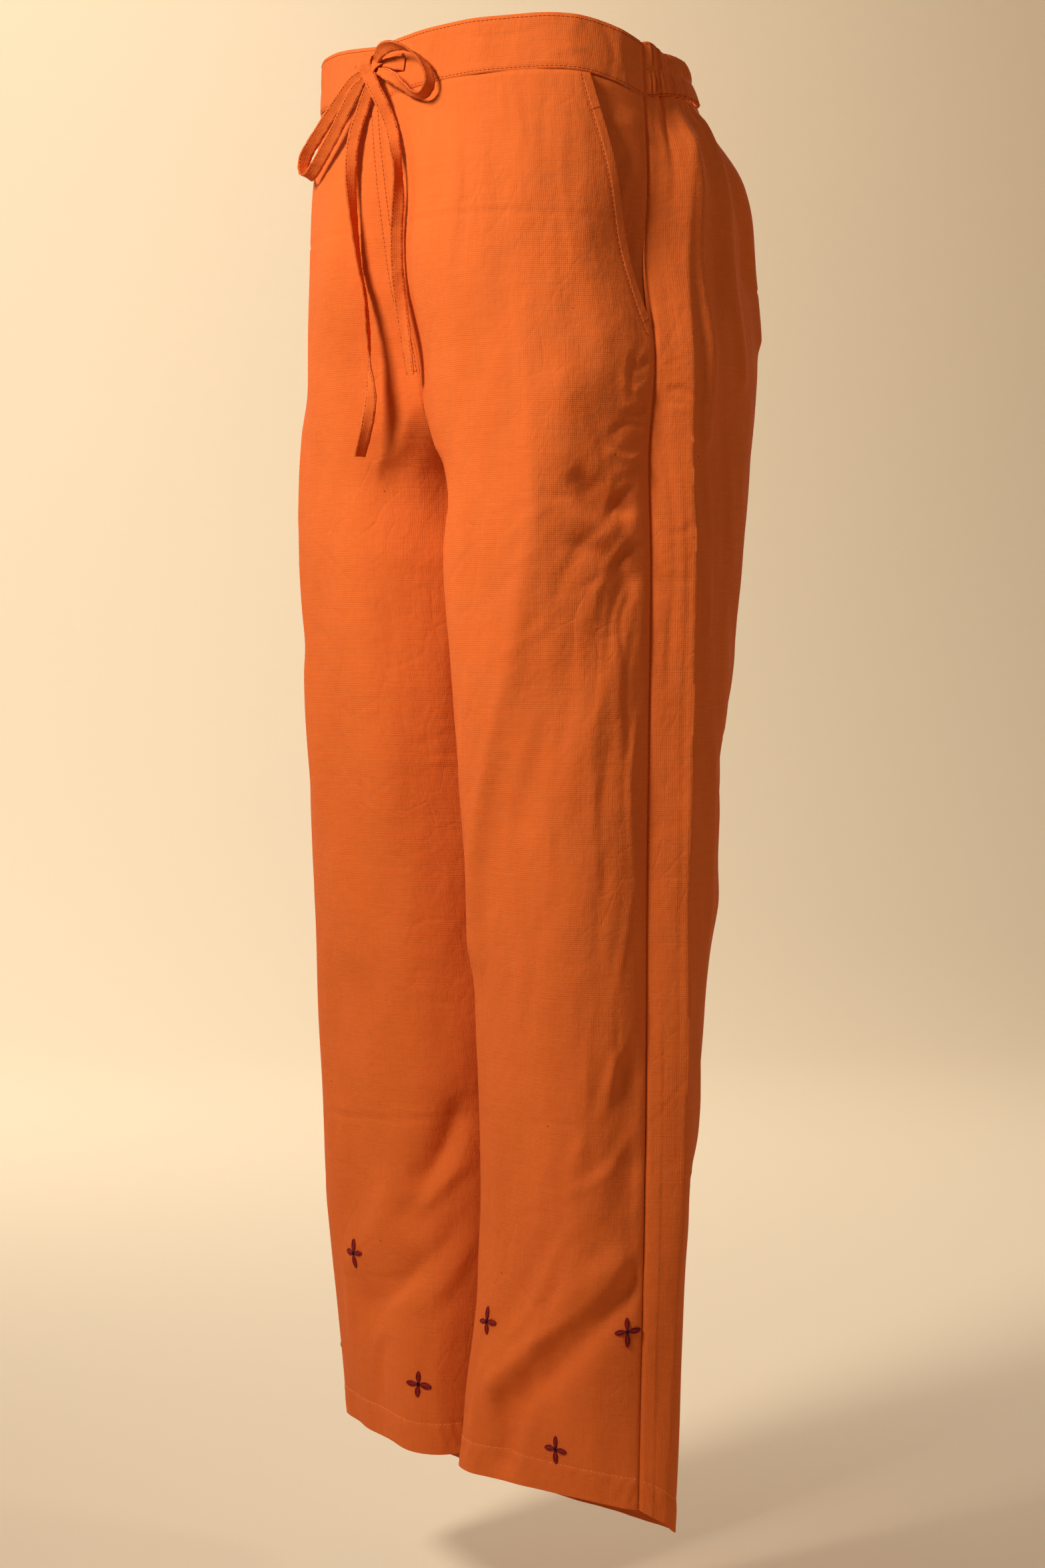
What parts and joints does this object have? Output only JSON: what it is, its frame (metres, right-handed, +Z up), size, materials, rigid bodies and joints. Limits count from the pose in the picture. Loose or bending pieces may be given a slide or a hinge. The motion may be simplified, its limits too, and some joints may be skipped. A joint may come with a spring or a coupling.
{
  "type": "straight pants",
  "caption": "Straight cotton pants in their worn, hollow shape, with a flat front band, an elastic back band, slanted side pockets and a drawstring bow.",
  "frame": {"origin": "middle of the waist opening, level with the top of the band at the front of the hips", "axes": "+Z up along the standing wearer, -Y out of the front, +X to the wearer's left"},
  "size_m": [0.3484, 0.2824, 0.965],
  "materials": {
    "cloth": "matte plain-weave cotton, rust orange",
    "drawstring": "matte cotton tape, rust orange",
    "embroidery": "stranded thread, dark maroon, slight sheen",
    "sewing": "sewing thread, rust orange"
  },
  "bodies": {
    "root": {"front_left": "cloth", "front_right": "cloth", "back_left": "cloth", "back_right": "cloth", "pocket_facing_left": "cloth", "pocket_facing_right": "cloth", "waistband_front": "cloth", "waistband_back": "cloth", "drawstring_knot": "drawstring", "drawstring_lead_left": "drawstring", "drawstring_lead_right": "drawstring", "drawstring_loop_left": "drawstring", "drawstring_loop_right": "drawstring", "drawstring_tail_left": "drawstring", "drawstring_tail_right": "drawstring"}
  },
  "joints": []
}
